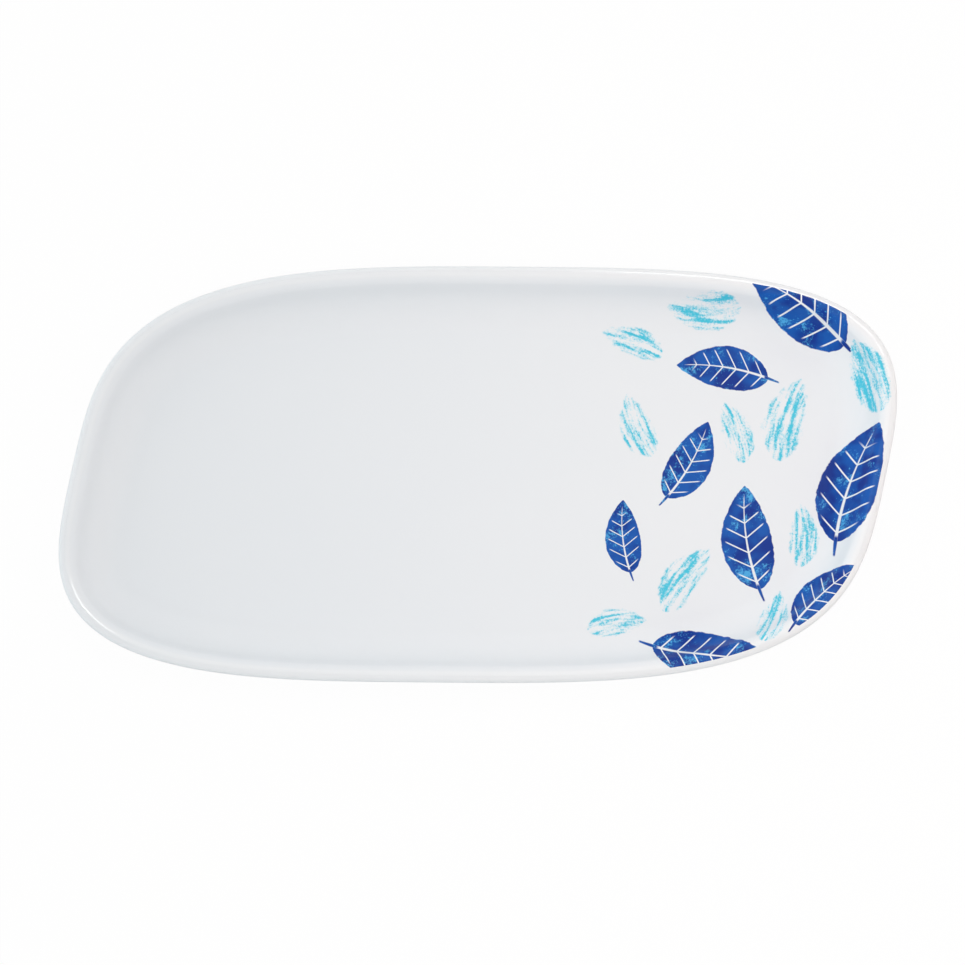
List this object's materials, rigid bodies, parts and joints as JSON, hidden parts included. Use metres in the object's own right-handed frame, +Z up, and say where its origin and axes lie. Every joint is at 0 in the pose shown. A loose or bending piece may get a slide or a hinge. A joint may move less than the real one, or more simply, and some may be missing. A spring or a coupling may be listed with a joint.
{
  "type": "oval serving platter",
  "caption": "Shallow oval platter with leaning ends, coved walls, a level lip and a foot ring, with a leaf-printed glazed face, for serving food.",
  "frame": {"origin": "under the centre of the platter, on the surface it rests on", "axes": "+X along the platter towards the printed end, +Y to the far long side, +Z up"},
  "size_m": [0.3598, 0.183, 0.022],
  "materials": {
    "white_melamine": "polished moulded melamine",
    "printed_foil": "white overlay paper with blue and turquoise leaf stamps at one end",
    "clear_glaze": "clear glossy resin"
  },
  "bodies": {
    "root": {"platter_body": "white_melamine", "decor_foil": "printed_foil", "glaze_film": "clear_glaze"}
  },
  "joints": []
}
